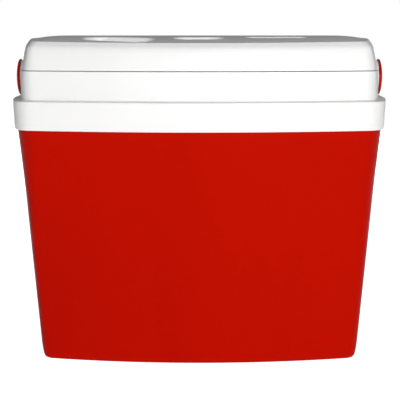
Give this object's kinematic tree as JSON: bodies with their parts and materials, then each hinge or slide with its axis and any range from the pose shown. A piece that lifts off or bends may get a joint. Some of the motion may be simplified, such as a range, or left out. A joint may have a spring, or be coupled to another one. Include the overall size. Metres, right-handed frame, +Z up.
{
  "type": "picnic cooler chest",
  "caption": "Insulated moulded picnic cooler: tapered shell, skirted rim, inner food tub, lift-off lid with drink wells and a folding bail handle.",
  "frame": {"origin": "on the floor, at the centre of the chest's plan", "axes": "+Z up; the front, with the lid's wells nearest, faces -Y; +X runs along the chest's width to the right-hand pivot seen from the front"},
  "size_m": [0.432, 0.31, 0.366],
  "materials": {
    "white_moulding": "satin",
    "red_moulding": "satin",
    "grey_moulding": "satin",
    "foam": "matte"
  },
  "bodies": {
    "chest": {"outer_shell": "red_moulding", "body_foam": "foam", "inner_tub": "white_moulding", "rim_collar": "white_moulding", "pivot_pin_left": "grey_moulding", "pivot_pin_right": "grey_moulding", "pivot_clip_left": "grey_moulding", "pivot_clip_right": "grey_moulding"},
    "lid": {"lid_top": "white_moulding", "lid_foam": "foam", "lid_pan": "white_moulding"},
    "handle": {"carry_handle": "white_moulding", "pivot_cap_left": "red_moulding", "pivot_cap_right": "red_moulding"}
  },
  "joints": [
    {"name": "lid_lift", "type": "slide", "parent": "chest", "child": "lid", "axis": [0, 0, 1], "range_m": [0, 0.3]},
    {"name": "handle_swing", "type": "hinge", "parent": "chest", "child": "handle", "pos_m": [0, 0, 0.3175], "axis": [1, 0, 0], "range_deg": [0, 187]}
  ]
}
